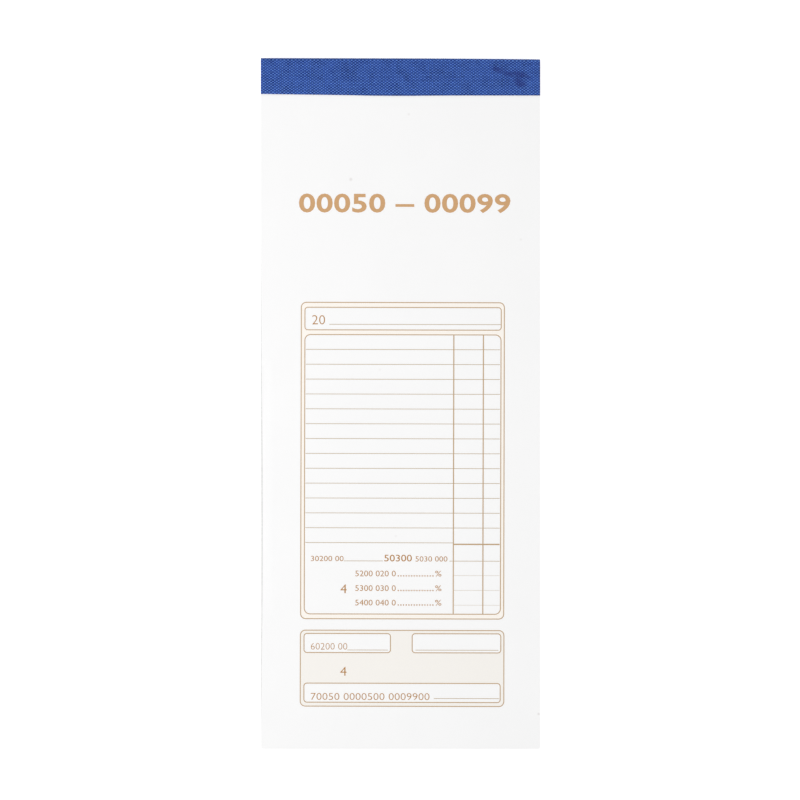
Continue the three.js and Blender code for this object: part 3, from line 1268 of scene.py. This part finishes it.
class BILLPAD_OT_stub(bpy.types.Operator):
    """Make the glued stack of leaf ends that stays in the head"""

    bl_idname = "billpad.stub"
    bl_label = "Bound Leaf Ends"

    def execute(self, context):
        low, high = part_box("stub_block")
        leaf_low, leaf_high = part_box(LEAVES[-1])
        thickness = leaf_high.z - leaf_low.z
        stray = context.scene.billpad_paper.stagger
        across = tie_edges(low, high, stray)
        along = [low.y + stray, low.y + STUB_TIE, high.y - stray]
        end = sheet_mesh("bound_end", across, along, low.z, low.z + thickness, between_ties(0))
        base = link_mesh("bound_end", end, [])
        pitch = (high.z - low.z - thickness) / (len(LEAVES) - 1)
        sizes = {"Sheets": len(LEAVES), "Pitch": pitch, "Stray": stray}
        look = bpy.data.materials["leaf paper"]
        ends = link_mesh("bound_ends", bound_ends_mesh(base, sizes, look), [])
        across = [low.x + GLUE_INSET, high.x - GLUE_INSET]
        along = [low.y + STUB_TIE + GLUE_INSET, high.y - GLUE_INSET]
        mesh = sheet_mesh("padding_glue", across, along, low.z + GLUE_SINK, high.z - GLUE_SINK)
        glue = link_mesh("padding_glue", mesh, [glue_material()])
        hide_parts("stub_block")
        for piece in (ends, glue):
            trimmed(piece.data)
            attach(piece, HEAD)
        return {"FINISHED"}


class BILLPAD_OT_tape(bpy.types.Operator):
    """Weave the cloth tape round the head"""

    bl_idname = "billpad.tape"
    bl_label = "Cloth Tape"

    def execute(self, context):
        tape = context.scene.billpad_tape
        low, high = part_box("binding_tape")
        path = tape_path(tape.corner_radius, tape.rise + tape.thread_height)
        length = sum(math.dist(a, b) for a, b in zip(path, path[1:]))
        warps = int((high.x - low.x) / tape.warp_pitch)
        wefts = round(length / tape.weft_pitch)

        def sizes(threads, crossings, pitch):
            return {
                "Threads": threads,
                "Pitch": tape.warp_pitch,
                "Crossings": crossings,
                "Half width": pitch * 0.5,
                "Rise": tape.rise,
                "Half height": tape.thread_height,
            }

        warp_sizes = sizes(warps, wefts, tape.warp_pitch)
        weft_sizes = sizes(wefts, warps, length / wefts)
        warp_look = thread_material("warp thread", tape.warp_colour)
        weft_look = thread_material("weft thread", tape.weft_colour)
        filler = link_mesh("tape_cloth", filler_mesh(tape), [filler_material(tape)])
        warp = link_mesh("tape_warp", warp_mesh(curve_base("warp path", path), warp_sizes, warp_look), [])
        weft = link_mesh("tape_weft", weft_mesh(curve_base("weft path", path), weft_sizes, weft_look), [])
        for piece in (filler, warp, weft):
            bowed(piece.data)
            trimmed(piece.data)
            piece.data.shade_smooth()
            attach(piece, HEAD)
        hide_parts("binding_tape")
        return {"FINISHED"}


class BILLPAD_PT_panel(bpy.types.Panel):
    """Buttons for each group of pieces"""

    bl_label = "Bill Pad"
    bl_idname = "BILLPAD_PT_panel"
    bl_space_type = "VIEW_3D"
    bl_region_type = "UI"
    bl_category = "Bill Pad"

    def draw(self, context):
        for operator in OPERATORS:
            self.layout.operator(operator.bl_idname)


SETTINGS = {
    "billpad_paper": PaperSettings,
    "billpad_print": PrintSettings,
    "billpad_tape": TapeSettings,
    "billpad_stage": StageSettings,
}
OPERATORS = (
    BILLPAD_OT_stage,
    BILLPAD_OT_board,
    BILLPAD_OT_cover,
    BILLPAD_OT_print,
    BILLPAD_OT_leaves,
    BILLPAD_OT_stub,
    BILLPAD_OT_tape,
)
CLASSES = (*SETTINGS.values(), *OPERATORS, BILLPAD_PT_panel)


def register():
    for each in CLASSES:
        bpy.utils.register_class(each)
    for name, group in SETTINGS.items():
        setattr(bpy.types.Scene, name, bpy.props.PointerProperty(type=group))


def unregister():
    for name in SETTINGS:
        delattr(bpy.types.Scene, name)
    for each in reversed(CLASSES):
        bpy.utils.unregister_class(each)


def main():
    register()
    bpy.ops.billpad.stage()
    bpy.ops.billpad.board()
    bpy.ops.billpad.cover()
    bpy.ops.billpad.print()
    bpy.ops.billpad.leaves()
    bpy.ops.billpad.stub()
    bpy.ops.billpad.tape()


if __name__ == "__main__":
    main()
